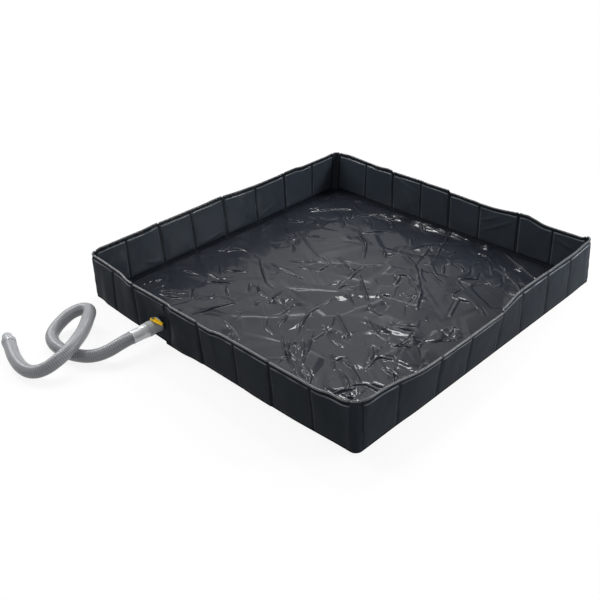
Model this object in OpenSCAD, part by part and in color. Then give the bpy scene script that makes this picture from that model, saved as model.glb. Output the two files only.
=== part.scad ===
// Collapsible spill containment tray. A welded liner makes the floor and four walls, each wall holds a row
// of rigid inserts in welded pockets, and a ball valve in the front wall drains into a corrugated hose.
// Millimetres, +Z up. The origin is on the ground under the middle of the tray, and the front faces -Y.

/* [Tray] */
// Outside length of each side of the square tray
side = 1200; // [1080:10:1500]
// Height from the ground to the top of the rim
tray_h = 160; // [140:1:200]
// Outside radius of the four corners
corner_r = 24; // [20:1:32]
// Thickness of the coated fabric liner
liner_t = 1; // [0.7:0.1:1.3]

/* [Walls] */
// Panels along each wall, in pairs under each length of rim bead
panel_count = 8; // [6:2:10]
// Thickness of a rigid wall insert
insert_t = 6; // [5:0.5:8]
// Radius of an insert's corners
insert_corner_r = 6; // [3:1:12]
// Distance from the side of an insert to the middle of the seam next to it
seam_margin = 11; // [9:1:15]
// Distance from the top of an insert to the top of the rim
hem_h = 24; // [18:1:32]
// Distance from the bottom of a wall to the bottom of its inserts
foot_margin = 5; // [4:0.5:6]
// Width of the pinched weld between the two panels of a pair
narrow_weld = 6; // [3:0.5:8]
// Width of the pinched weld between one pair of panels and the next
wide_weld = 10; // [6:0.5:12]
// Diameter of the bead along the rim
bead_d = 6; // [4:0.5:7]
// Gap between the ends of two rim beads
bead_gap = 8; // [2:1:14]

/* [Drain fitting] */
// Panel of the front wall that holds the drain, counted from -X
drain_panel = 3; // [2:1:5]
// Distance of the drain's axis from the middle between the seams beside it, towards +X
drain_offset = 20; // [0:1:30]
// Height of the drain's axis above the ground
drain_z = 58; // [40:1:66]
// Radius of the bore through the bulkhead fitting
port_r = 12.5; // [10:0.5:12.5]
// Wall thickness of the bulkhead fitting's barrel
barrel_wall = 4; // [3:0.5:4.5]
// Width of the bulkhead flange outside its barrel
flange_w = 7.5; // [5:0.5:7.5]
// Thickness of the bulkhead flange
flange_t = 4; // [3:0.5:6]
// Thickness of each gasket
gasket_t = 2; // [1.5:0.5:3]
// Thickness of the bulkhead nut
nut_t = 6; // [5:0.5:8]

/* [Valve] */
// Wall thickness of the valve body round the ball
body_wall = 3; // [2.5:0.5:4]
// Length of the hexagon at the inlet of the valve body
inlet_len = 8; // [6:1:12]
// Radius of the valve stem
stem_r = 4.5; // [3.5:0.5:5]
// Height of the stem boss above the valve body
boss_h = 4; // [4:0.5:8]
// Length of the lever from the stem's axis to its tip
lever_len = 48; // [40:1:60]
// Thickness of the lever's plate
lever_t = 3.5; // [3:0.5:5]
// Height of the lever's finger rib above its plate
rib_h = 5; // [3:0.5:8]
// Length of the union nut
union_len = 18; // [15:1:24]
// Ribs round the union nut
union_ribs = 16; // [10:1:20]

/* [Hose] */
// Outside diameter of the hose
hose_d = 40; // [38:0.5:41]
// Wall thickness of the hose
hose_wall = 2.5; // [2:0.5:3]
// Outside radius of the tail that the hose cuff pushes on to
tail_r = 16; // [14.5:0.5:16]
// Length of the cuff on the valve's tail
cuff_len = 56; // [45:1:65]
// Length of the tail inside the cuff
tail_grip = 48; // [35:1:50]
// Length of the cuff at the free end of the hose
end_cuff_len = 20; // [16:1:26]
// Length of the outlet spigot beyond its cuff
spigot_len = 28; // [20:1:40]

/* [Hidden] */

$fn = 48;

// Clearance between the tray's folding parts
fold_gap = 0.4;
// Clearance of a part that turns or slides in another
run_gap = 0.05;
// Room for an insert at its sides and top
pocket_gap = 0.5;
// Straight steps in a rounded edge of a panel
edge_steps = 4;
// How far a cutting solid reaches past what it cuts
past = 1;

// Walls. Each is drawn along X with its middle plane at Y = 0 and its outside towards -Y.
wall_t = insert_t + 2 * liner_t;
wall_y = side / 2 - wall_t / 2;
wall_len = side - 2 * corner_r;
pitch = side / panel_count;
edge_at = seam_margin - pocket_gap - liner_t;
side_wall_z = liner_t + fold_gap;
nut_reach = gasket_t + nut_t;
end_wall_z = side_wall_z + max(wall_t, nut_reach) + fold_gap;
insert_top = tray_h - hem_h;
bead_r = bead_d / 2;
bead_z = tray_h - bead_r;
seat_drop = sqrt(bead_r * bead_r - liner_t * liner_t);
skin_top = bead_z - seat_drop;
hem_slope = 6;
weld_foot = liner_t;

// Drain fitting, measured outwards from the outside of the front wall
drain_x = (drain_panel - (panel_count + 1) / 2) * pitch + drain_offset;
barrel_r = port_r + barrel_wall;
hole_r = barrel_r + 0.5;
flange_r = barrel_r + flange_w;
nut_r = flange_r + 1;
gasket_r = flange_r - 1;
body_from = gasket_t + flange_t;

// Valve
way_r = port_r - 0.5;
ball_r = way_r + 5;
chamber_r = ball_r + 0.5;
body_r = chamber_r + body_wall;
seat_near = ball_r * 0.56;
seat_far = ball_r - 2;
web_t = 3;
ball_at = body_from + web_t + seat_far;
carrier_t = 4;
body_to = ball_at + seat_far + carrier_t;
boss_r = stem_r + 4;
boss_top = body_r + boss_h;
tang_w = stem_r + 0.5;
tang_foot = ball_r * 0.76;
seal_w = 2;
seal_h = 2.5;
lever_from = boss_top + fold_gap;
hub_r = boss_r;
lever_tip_r = 5;
rib_w = 3;
stem_top = lever_from + lever_t;
screw_r = 1.6;
screw_len = 8;
screw_head_r = 4;
screw_head_h = 2.4;

// Hose tail and union nut
tail_flange_t = 4;
tail_flange_r = body_r - 1;
union_r = body_r + 2.5;
union_from = body_to + tail_flange_t + 4 - union_len;
union_to = union_from + union_len;
cuff_from = union_to + fold_gap;
cuff_to = cuff_from + cuff_len;
cuff_r = hose_d / 2 + 1;
end_lip_r = cuff_r + 0.8;
cuff_lip_r = cuff_r + 1;
cuff_lip_len = 14;

// Hose. Each point is [along X, out from the end of the cuff, height], the height counted from the ground.
hose_r = hose_d / 2;
hose_low = end_lip_r + 0.2;
hose_sides = 12;
hose_from = side / 2 + cuff_to;
route = [
  [0, 0, drain_z], [0, 18, drain_z], [-4, 43, 53], [-15, 70, 42], [-34, 95, 31], [-60, 117, 24],
  [-92, 135, hose_low], [-128, 147, hose_low], [-167, 151, hose_low], [-205, 147, hose_low],
  [-238, 133, 25], [-258, 108, 31], [-267, 77, 41], [-268, 48, 51], [-263, 22, 56], [-249, 5, 60],
  [-227, 2, 64], [-202, 13, 68], [-173, 37, 71], [-141, 66, 73], [-111, 98, 74], [-88, 133, 72],
  [-72, 169, 66], [-68, 204, 56], [-77, 236, 41], [-97, 260, 29], [-127, 274, hose_low],
  [-162, 278, hose_low], [-199, 273, hose_low], [-236, 264, hose_low], [-271, 252, hose_low],
  [-300, 242, hose_low]
];
spigot_wall = 3;
spigot_root_r = tail_r - 1;

// Points

function ease(s) = sin(90 * s);
function pinch(s) = liner_t + (wall_t / 2 - liner_t) * ease(s);
// Middle of seam i; the first and the last are the ends of the wall, at the corners
function seam_x(i) = max(-wall_len / 2, min(wall_len / 2, i * pitch - side / 2));
function weld_w(i) = i % 2 == 0 ? wide_weld : narrow_weld;
function step(i) = i / edge_steps;

// One side of the edge of a panel, rising from the weld at seam i; way is 1 to its right and -1 to its left
function edge_points(i, way) = [
  for (k = [0 : edge_steps])
    let (s = step(way > 0 ? k : edge_steps - k), from = weld_w(i) / 2)
      [seam_x(i) + way * (from + s * (edge_at - from)), pinch(s)]
];

// Outline of one skin seen from above, with its middle plane at Y = 0
function plan_points() = let (end = wall_len / 2 - fold_gap) concat(
  [[-end, 0], [-end, liner_t]],
  [for (i = [0 : panel_count - 1]) each concat(edge_points(i, 1), edge_points(i + 1, -1))],
  [[end, liner_t], [end, 0]]
);

// Outline of one skin seen from its end: pinched at the foot, full over the inserts, and thin at the hem
function side_points(foot) = concat(
  [[0, foot]],
  [for (k = [0 : edge_steps])
    [pinch(step(k)), foot + weld_foot + step(k) * (foot_margin - liner_t - weld_foot)]],
  [for (k = [0 : edge_steps])
    [pinch(1 - step(k)), insert_top + pocket_gap + liner_t + step(k) * hem_slope]],
  [[liner_t, skin_top], [0, skin_top]]
);

function unit(v) = v / norm(v);
function hose_point(i) = [drain_x + route[i][0], -hose_from - route[i][1], route[i][2]];
function heading(p, i) = let (j = min(max(i, 1), len(p) - 2)) unit(p[j + 1] - p[j - 1]);

// Curve through four neighbouring points at share t of its middle stretch
function between(a, b, c, d, t) =
  (2 * b + (c - a) * t + (2 * a - 5 * b + 4 * c - d) * t * t + (3 * b - a - 3 * c + d) * t * t * t) / 2;

function hose_line() = let (last = len(route) - 1) concat(
  [for (i = [0 : last - 1]) each [
    hose_point(i),
    between(hose_point(max(i - 1, 0)), hose_point(i), hose_point(i + 1),
      hose_point(min(i + 2, last)), 0.5)
  ]],
  [hose_point(last)]
);

// A ring of points round point i of the line p
function ring_points(p, i, r) =
  let (along = heading(p, i), across = unit(cross(along, [0, 0, 1])), up = cross(across, along))
    [for (k = [0 : hose_sides - 1]) let (a = 360 * k / hose_sides)
      p[i] + r * (cos(a) * across + sin(a) * up)];

// Placing

module on_side(turn) {
  rotate([0, 0, turn]) translate([0, -wall_y, 0]) children();
}

// Z runs outwards through the drain, Y is up
module at_drain(out = 0) {
  translate([drain_x, -side / 2 - out, drain_z]) rotate([90, 0, 0]) children();
}

// Z is the valve stem's axis, from the middle of the ball
module at_stem(up = 0) {
  translate([drain_x, -side / 2 - ball_at, drain_z + up]) children();
}

// Z runs on along the hose from its free end
module at_hose_end(out = 0) {
  last = len(route) - 1;
  run = hose_point(last) - hose_point(last - 1);
  translate(hose_point(last)) rotate([0, 0, atan2(run.y, run.x)]) rotate([0, 90, 0])
    translate([0, 0, out]) children();
}

module tube(outer, inner, h) {
  difference() {
    cylinder(r = outer, h = h);
    translate([0, 0, -past]) cylinder(r = inner, h = h + 2 * past);
  }
}

module rounded_rect(w, h, r) {
  translate([r, 0]) square([w - 2 * r, h]);
  translate([0, r]) square([w, h - 2 * r]);
  for (x = [r, w - r], y = [r, h - r]) translate([x, y]) circle(r = r);
}

// Floor and corners

module floor_sheet() {
  color("#4a4d52") translate([-side / 2, -side / 2, 0])
    linear_extrude(liner_t) rounded_rect(side, side, corner_r);
}

// The liner between the floor and a wall that folds down over two others
module fold_strip(turn) {
  color("#2a2d30") on_side(turn)
    translate([fold_gap - wall_len / 2, -wall_t / 2, liner_t])
      cube([wall_len - 2 * fold_gap, liner_t, end_wall_z - fold_gap - liner_t]);
}

// Section of the rim bead, flat where it sits on the two skins
module bead_section() {
  difference() {
    circle(d = bead_d);
    translate([-bead_d, -seat_drop - bead_d]) square([2 * bead_d, bead_d]);
  }
}

// Doubled liner round a corner, with its own length of rim bead
module gusset(turn) {
  mid_r = corner_r - wall_t / 2;
  color("#2a2d30") rotate([0, 0, turn]) translate([wall_len / 2, -wall_len / 2, 0]) rotate([0, 0, -90])
    rotate_extrude(angle = 90) {
      translate([mid_r - liner_t, liner_t]) square([2 * liner_t, bead_z - liner_t]);
      translate([mid_r, bead_z]) bead_section();
    }
}

// Walls

// Draws its children in each pocket, from the left end of its insert, with the insert's width in $insert_w
module each_panel() {
  for (i = [0 : panel_count - 1]) {
    $insert_w = seam_x(i + 1) - seam_x(i) - 2 * seam_margin;
    translate([seam_x(i) + seam_margin, 0, 0]) children();
  }
}

// Half of a wall: one layer of liner shaped over its half of the inserts, on the +Y side
module half_wall(foot) {
  pocket_h = insert_top + pocket_gap - foot - foot_margin;
  difference() {
    intersection() {
      linear_extrude(tray_h) polygon(plan_points());
      translate([-wall_len / 2, 0, 0]) rotate([90, 0, 90]) linear_extrude(wall_len)
        polygon(side_points(foot));
    }
    each_panel() translate([-pocket_gap, -past, foot + foot_margin])
      cube([$insert_w + 2 * pocket_gap, past + insert_t / 2, pocket_h]);
  }
}

module outer_skin(turn, foot) {
  color("#2a2d30") on_side(turn) mirror([0, 1, 0]) half_wall(foot);
}

module inner_skin(turn, foot) {
  color("#24282c") on_side(turn) half_wall(foot);
}

module inserts(turn, foot) {
  h = insert_top - foot - foot_margin;
  color("#3c3f42") on_side(turn) each_panel()
    translate([0, insert_t / 2, foot + foot_margin]) rotate([90, 0, 0])
      linear_extrude(insert_t) rounded_rect($insert_w, h, insert_corner_r);
}

module rim_beads(turn) {
  color("#303336") on_side(turn) for (i = [0 : 2 : panel_count - 2])
    translate([seam_x(i) + bead_gap / 2, 0, bead_z]) rotate([90, 0, 90])
      linear_extrude(seam_x(i + 2) - seam_x(i) - bead_gap) bead_section();
}

// The hole for the drain's barrel through the whole front wall
module drain_hole() {
  at_drain(-wall_t - past) cylinder(r = hole_r, h = wall_t + 2 * past);
}

module front_outer_skin() {
  color("#2a2d30") difference() {
    outer_skin(0, end_wall_z);
    drain_hole();
  }
}

module front_inner_skin() {
  color("#24282c") difference() {
    inner_skin(0, end_wall_z);
    drain_hole();
  }
}

module front_inserts() {
  color("#3c3f42") difference() {
    inserts(0, end_wall_z);
    drain_hole();
  }
}

// Drain fitting

module outer_gasket() {
  color("#151515") at_drain() tube(gasket_r, barrel_r, gasket_t);
}

module inner_gasket() {
  color("#151515") at_drain(-wall_t - gasket_t) tube(gasket_r, barrel_r, gasket_t);
}

// Flange outside, and a barrel through the wall that ends level with its nut
module bulkhead_fitting() {
  barrel_len = wall_t + nut_reach + gasket_t;
  chamfer = 1;
  color("#b9bcc0") difference() {
    union() {
      at_drain(gasket_t) cylinder(r = flange_r, h = flange_t - chamfer);
      at_drain(gasket_t + flange_t - chamfer) cylinder(r1 = flange_r, r2 = flange_r - chamfer, h = chamfer);
      at_drain(-wall_t - nut_reach) cylinder(r = barrel_r, h = barrel_len);
    }
    at_drain(-wall_t - nut_reach - past) cylinder(r = port_r, h = barrel_len + flange_t + 2 * past);
  }
}

module bulkhead_nut() {
  color("#2b2d30") at_drain(-wall_t - nut_reach) difference() {
    cylinder(r = nut_r, h = nut_t, $fn = 6);
    translate([0, 0, -past]) cylinder(r = barrel_r, h = nut_t + 2 * past);
  }
}

// Valve

// Hexagon round the inlet, round chamber open at its outer end, and a boss for the stem
module valve_body() {
  inlet_r = body_r + 2;
  color("#b4b7bb") difference() {
    union() {
      at_drain(body_from) cylinder(r = inlet_r, h = inlet_len, $fn = 6);
      at_drain(body_from) cylinder(r = body_r, h = body_to - body_from);
      at_stem() cylinder(r = boss_r, h = boss_top);
    }
    at_drain(body_from - past) cylinder(r = way_r, h = body_to);
    at_drain(ball_at - seat_far) cylinder(r = chamber_r, h = body_to);
    at_stem() cylinder(r = stem_r + run_gap, h = boss_top + past);
    at_stem(boss_top - seal_h) cylinder(r = stem_r + seal_w, h = seal_h + past);
  }
}

module ball_seats() {
  color("#e8e8e6") at_drain(ball_at) for (way = [0, 1]) mirror([0, 0, way]) difference() {
    translate([0, 0, seat_near]) tube(chamber_r, way_r, seat_far - seat_near);
    sphere(r = ball_r + 2 * run_gap);
  }
}

// Threaded ring that holds the seats and the ball in the body
module seat_carrier() {
  color("#9fa2a6") at_drain(ball_at + seat_far) tube(chamber_r, way_r, carrier_t);
}

module stem_seal() {
  color("#151515") at_stem(boss_top - seal_h) tube(stem_r + seal_w, stem_r + run_gap, seal_h);
}

// The ball stands closed, with its way along X
module valve_ball() {
  color("#d5d7da") at_stem() difference() {
    sphere(r = ball_r);
    rotate([0, 90, 0]) cylinder(r = way_r, h = 4 * ball_r, center = true);
    translate([-ball_r, -tang_w / 2, tang_foot]) cube([2 * ball_r, tang_w, ball_r]);
  }
}

// Round stem with a flat tang in the ball's slot and a screw hole in its top
module valve_stem() {
  tang_h = ball_r - tang_foot;
  color("#a8abaf") at_stem(tang_foot) difference() {
    union() {
      intersection() {
        cylinder(r = stem_r, h = tang_h);
        translate([-stem_r, -tang_w / 2, 0]) cube([2 * stem_r, tang_w, tang_h]);
      }
      translate([0, 0, tang_h]) cylinder(r = stem_r, h = stem_top - ball_r);
    }
    translate([0, 0, stem_top - tang_foot - screw_len]) cylinder(r = screw_r, h = screw_len + past);
  }
}

// Hub, tapering arm and upright finger rib, pointing along X when the valve is closed
module valve_lever() {
  arm_end = lever_len - lever_tip_r;
  rib_from = hub_r - 1;
  color("#f0c818") at_stem(lever_from) {
    difference() {
      linear_extrude(lever_t) {
        circle(r = hub_r);
        polygon([[0, -hub_r], [arm_end, -lever_tip_r], [arm_end, lever_tip_r], [0, hub_r]]);
        translate([arm_end, 0]) circle(r = lever_tip_r);
      }
      translate([0, 0, -past]) cylinder(r = stem_r, h = lever_t + 2 * past);
    }
    translate([rib_from, rib_w / 2, lever_t]) rotate([90, 0, 0]) linear_extrude(rib_w)
      polygon([[0, 0], [lever_len - rib_from - 1, 0], [lever_len - rib_from - 1, rib_h], [rib_h, rib_h]]);
  }
}

module lever_screw() {
  color("#c9ccd0") at_stem(stem_top - screw_len) {
    cylinder(r = screw_r, h = screw_len);
    translate([0, 0, screw_len]) difference() {
      cylinder(r = screw_head_r + 1, h = screw_head_h);
      translate([-screw_head_r, -0.5, screw_head_h - 1]) cube([2 * screw_head_r, 1, 1 + past]);
    }
  }
}

// Ribbed nut that draws the hose tail's flange on to the end of the valve body
module union_nut() {
  rib_r = 1.5;
  color("#c2c5c9") difference() {
    union() {
      at_drain(union_from) cylinder(r = union_r, h = union_len);
      for (k = [0 : union_ribs - 1]) at_drain(union_from + 2) rotate([0, 0, 360 * k / union_ribs])
        translate([union_r - rib_r / 2, 0, 0]) cylinder(r = rib_r, h = union_len - 4);
    }
    at_drain(union_from - past) cylinder(r = body_r, h = body_to + past - union_from);
    at_drain(body_to - past) cylinder(r = tail_flange_r, h = tail_flange_t + past);
    at_drain(body_to) cylinder(r = tail_r, h = union_len);
  }
}

module hose_tail() {
  color("#b4b7bb") difference() {
    union() {
      at_drain(body_to) cylinder(r = tail_flange_r, h = tail_flange_t);
      at_drain(body_to) cylinder(r = tail_r, h = cuff_from + tail_grip - body_to);
    }
    at_drain(body_to - past) cylinder(r = way_r, h = cuff_from + tail_grip);
  }
}

// Hose

// Smooth cuff, thicker at its lip, that pushes on to the hose tail
module hose_cuff() {
  color("#c6c8cb") at_drain(cuff_from) difference() {
    union() {
      cylinder(r = cuff_lip_r, h = cuff_lip_len);
      cylinder(r = cuff_r, h = cuff_len);
    }
    translate([0, 0, -past]) cylinder(r = tail_r + run_gap, h = cuff_len + 2 * past);
  }
}

// Tube swept along the route, as one closed surface with an inside and an outside
module drain_hose() {
  line = hose_line();
  last = len(line) - 1;
  n = hose_sides;
  outside = [for (i = [0 : last]) each ring_points(line, i, hose_r)];
  inside = [for (i = [0 : last]) each ring_points(line, i, hose_r - hose_wall)];
  far = len(outside);
  walls = [for (i = [0 : last - 1], k = [0 : n - 1]) let (a = i * n + k, b = i * n + (k + 1) % n) each [
    [a, a + n, b + n, b], [far + b, far + b + n, far + a + n, far + a]
  ]];
  ends = [for (k = [0 : n - 1]) let (a = k, b = (k + 1) % n, c = last * n) each [
    [a, b, far + b, far + a], [c + b, c + a, far + c + a, far + c + b]
  ]];
  color("#9a9b9f") polyhedron(points = concat(outside, inside), faces = concat(walls, ends), convexity = 8);
}

module end_cuff() {
  lip_len = end_cuff_len * 0.4;
  color("#b2b4b8") at_hose_end() difference() {
    union() {
      cylinder(r = cuff_r, h = end_cuff_len);
      translate([0, 0, end_cuff_len - lip_len]) cylinder(r = end_lip_r, h = lip_len);
    }
    translate([0, 0, -past]) cylinder(r = spigot_root_r, h = end_cuff_len + 2 * past);
  }
}

// Smooth outlet with a narrower root held in the end cuff
module outlet_spigot() {
  color("#c6c8cb") at_hose_end() {
    tube(spigot_root_r, tail_r - spigot_wall, end_cuff_len);
    translate([0, 0, end_cuff_len]) tube(tail_r, tail_r - spigot_wall, spigot_len);
  }
}

floor_sheet();
fold_strip(0);  // front_fold_strip
fold_strip(180);  // back_fold_strip
gusset(270);  // front_left_gusset
gusset(0);  // front_right_gusset
gusset(180);  // back_left_gusset
gusset(90);  // back_right_gusset
front_outer_skin();
front_inner_skin();
front_inserts();
rim_beads(0);  // front_rim_beads
outer_skin(180, end_wall_z);  // back_outer_skin
inner_skin(180, end_wall_z);  // back_inner_skin
inserts(180, end_wall_z);  // back_inserts
rim_beads(180);  // back_rim_beads
outer_skin(270, side_wall_z);  // left_outer_skin
inner_skin(270, side_wall_z);  // left_inner_skin
inserts(270, side_wall_z);  // left_inserts
rim_beads(270);  // left_rim_beads
outer_skin(90, side_wall_z);  // right_outer_skin
inner_skin(90, side_wall_z);  // right_inner_skin
inserts(90, side_wall_z);  // right_inserts
rim_beads(90);  // right_rim_beads
outer_gasket();
inner_gasket();
bulkhead_fitting();
bulkhead_nut();
valve_body();
ball_seats();
seat_carrier();
stem_seal();
union_nut();
hose_tail();
valve_ball();
valve_stem();
valve_lever();
lever_screw();
hose_cuff();
drain_hose();
end_cuff();
outlet_spigot();
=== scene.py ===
import math
import bpy
import numpy as np
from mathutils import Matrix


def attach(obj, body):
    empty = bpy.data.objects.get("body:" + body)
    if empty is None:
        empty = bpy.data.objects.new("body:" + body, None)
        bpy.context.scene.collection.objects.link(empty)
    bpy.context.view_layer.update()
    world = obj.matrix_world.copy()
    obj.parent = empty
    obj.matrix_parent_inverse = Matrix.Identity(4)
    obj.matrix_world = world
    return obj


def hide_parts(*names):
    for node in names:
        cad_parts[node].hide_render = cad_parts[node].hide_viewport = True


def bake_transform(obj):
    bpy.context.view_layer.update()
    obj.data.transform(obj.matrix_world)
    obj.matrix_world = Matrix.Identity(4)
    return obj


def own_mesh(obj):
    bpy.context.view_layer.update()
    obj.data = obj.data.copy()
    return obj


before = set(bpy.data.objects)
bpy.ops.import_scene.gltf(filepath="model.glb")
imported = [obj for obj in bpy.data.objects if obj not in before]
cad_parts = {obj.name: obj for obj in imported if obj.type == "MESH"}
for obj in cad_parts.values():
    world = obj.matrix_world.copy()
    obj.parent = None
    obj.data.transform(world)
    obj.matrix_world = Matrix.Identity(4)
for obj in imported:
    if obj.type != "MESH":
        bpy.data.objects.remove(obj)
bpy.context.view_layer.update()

camera = {
    "place": (1.6654, -1.7711, 1.4328),
    "turn": (58.633, 1.226, 43.488),
    "lens": 49.68,
    "shiftX": -0.05,
}

cameraData = bpy.data.cameras.new("trayCamera")
cameraData.lens = camera["lens"]
cameraData.sensor_width = 36
cameraData.shift_x = camera["shiftX"]
cameraObject = bpy.data.objects.new("trayCamera", cameraData)
cameraObject.location = camera["place"]
cameraObject.rotation_euler = [math.radians(a) for a in camera["turn"]]
bpy.context.collection.objects.link(cameraObject)
bpy.context.scene.camera = cameraObject
print("camera placed")


def colour(hexCode):
    # sRGB hex to linear: c / 12.92 below 0.04045, else ((c + 0.055) / 1.055) to the power 2.4
    parts = [int(hexCode[i:i + 2], 16) / 255 for i in (1, 3, 5)]
    return [p / 12.92 if p <= 0.04045 else ((p + 0.055) / 1.055) ** 2.4 for p in parts] + [1.0]


def addNode(tree, kind, settings=None, links=None):
    # settings are attributes or input values; a link comes from a socket, or from a node's first output
    node = tree.nodes.new(kind)
    for key, value in (settings or {}).items():
        if isinstance(key, str) and hasattr(node, key):
            setattr(node, key, value)
        else:
            node.inputs[key].default_value = value
    for key, source in (links or {}).items():
        socket = source.outputs[0] if isinstance(source, bpy.types.Node) else source
        tree.links.new(socket, node.inputs[key])
    return node


def newMaterial(name):
    material = bpy.data.materials.new(name)
    material.use_nodes = True
    tree = material.node_tree
    tree.nodes.clear()
    return material, tree


def gridFaces(rows, cols, closeRows=False, closeCols=False):
    # face (i, j) joins points (i, j), (i, j+1), (i+1, j+1), (i+1, j) of a grid counted row by row
    i, j = np.meshgrid(
        np.arange(rows if closeRows else rows - 1),
        np.arange(cols if closeCols else cols - 1),
        indexing="ij",
    )
    i2, j2 = (i + 1) % rows, (j + 1) % cols
    quads = np.stack([i * cols + j, i * cols + j2, i2 * cols + j2, i2 * cols + j], axis=-1)
    return quads.reshape(-1, 4)


def newPiece(name, points, faces, material, body, smooth=True, under=None, marks=None):
    # points that no face uses are dropped before the mesh is made; under is one flat many-sided face;
    # marks are named numbers for each point, kept for the material
    marks = dict(marks or {})
    if under is None:
        used, faces = np.unique(np.asarray(faces), return_inverse=True)
        points = np.asarray(points)[used]
        marks = {mark: values[used] for mark, values in marks.items()}
        faces = faces.reshape(-1, 4)
    faces = faces.tolist() + ([] if under is None else [list(under)])
    mesh = bpy.data.meshes.new(name)
    mesh.from_pydata(np.asarray(points).tolist(), [], faces)
    mesh.polygons.foreach_set("use_smooth", np.full(len(mesh.polygons), smooth))
    mesh.materials.append(material)
    mesh.update()
    for mark, values in marks.items():
        mesh.attributes.new(mark, "FLOAT", "POINT").data.foreach_set("value", values.astype(np.float32))
    piece = bpy.data.objects.new(name, mesh)
    bpy.context.collection.objects.link(piece)
    if body:
        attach(piece, body)
    return piece


def closedShell(front, back, keep=None, flip=False):
    # two grids of points, one behind the other, joined along every open edge of the kept faces
    rows, cols = front.shape[:2]
    quads = gridFaces(rows, cols)
    if keep is not None:
        quads = quads[keep.reshape(-1)]
    if flip:
        quads = quads[:, ::-1]
    count = rows * cols
    start = quads.reshape(-1)
    end = np.roll(quads, -1, axis=1).reshape(-1)
    edge = ~np.isin(end * count + start, start * count + end)
    a, b = start[edge], end[edge]
    rim = np.stack([b, a, a + count, b + count], axis=-1)
    points = np.concatenate([front.reshape(-1, 3), back.reshape(-1, 3)])
    return points, np.concatenate([quads, quads[:, ::-1] + count, rim])


def joinGrids(parts):
    # several (points, faces) pairs as one
    offset = 0
    points, faces = [], []
    for p, f in parts:
        points.append(np.asarray(p))
        faces.append(np.asarray(f) + offset)
        offset += len(p)
    return np.concatenate(points), np.concatenate(faces)


def softStep(t):
    # 0 below 0, 1 above 1, and 6t^5 - 15t^4 + 10t^3 between
    t = np.clip(t, 0, 1)
    return t * t * t * (t * (t * 6 - 15) + 10)


def easeOut(t):
    # the sine of t quarter turns, with t held between 0 and 1
    return np.sin(np.clip(t, 0, 1) * math.pi / 2)


def arch(t):
    # the sine of t half turns, with t held between 0 and 1
    return np.sin(np.clip(t, 0, 1) * math.pi)


def turned(x, y, angle):
    # the same place in axes turned by this angle
    c, s = math.cos(angle), math.sin(angle)
    return x * c + y * s, y * c - x * s


def smoothNoise(x, y, cell, seed):
    # random numbers from -1 to 1 on a square lattice, blended with softStep in both directions
    lattice = np.random.default_rng(seed).uniform(-1, 1, (128, 128))
    gx, gy = x / cell + 40.0, y / cell + 40.0
    i, j = np.floor(gx).astype(int), np.floor(gy).astype(int)
    s, t = softStep(gx - i), softStep(gy - j)
    i, j = i % 127, j % 127
    low = lattice[i, j] * (1 - s) + lattice[i + 1, j] * s
    high = lattice[i, j + 1] * (1 - s) + lattice[i + 1, j + 1] * s
    return low * (1 - t) + high * t


def ribbon(points, radius, around):
    # rings of radius r round each point of a line; across = tangent x up, so no ring twists
    tangent = np.gradient(points, axis=0)
    tangent /= np.linalg.norm(tangent, axis=1, keepdims=True)
    across = np.cross(tangent, [0, 0, 1])
    across /= np.linalg.norm(across, axis=1, keepdims=True)
    up = np.cross(across, tangent)
    a = np.arange(around) * 2 * math.pi / around
    r = np.broadcast_to(np.asarray(radius, float), (len(points),))[:, None, None]
    turn = np.cos(a)[None, :, None] * across[:, None, :] + np.sin(a)[None, :, None] * up[:, None, :]
    return points[:, None, :] + r * turn


def closedTube(points, radius, around):
    # the rings of a ribbon joined into a tube, whose radius shrinks to next to nothing where it has to end
    rings = ribbon(points, radius, around)
    quads = gridFaces(len(points), around, closeCols=True)
    return rings.reshape(-1, 3), quads[:, ::-1]


def curveThrough(knots, step):
    # Catmull-Rom through the knots, then spaced evenly along its length
    knots = np.asarray(knots, float)
    p = np.concatenate([2 * knots[:1] - knots[1:2], knots, 2 * knots[-1:] - knots[-2:-1]])
    t = np.linspace(0, 1, 41)[:-1][None, :, None]
    a, b, c, d = (p[k:len(p) - 3 + k][:, None, :] for k in range(4))
    line = 2 * b + (c - a) * t + (2 * a - 5 * b + 4 * c - d) * t ** 2
    line = 0.5 * (line + (3 * b - a - 3 * c + d) * t ** 3)
    line = np.concatenate([line.reshape(-1, 3), knots[-1:]])
    along = np.concatenate([[0], np.cumsum(np.linalg.norm(np.diff(line, axis=0), axis=1))])
    even = np.linspace(0, along[-1], max(2, int(round(along[-1] / step)) + 1))
    return np.stack([np.interp(even, along, line[:, k]) for k in range(3)], axis=1), even


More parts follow.
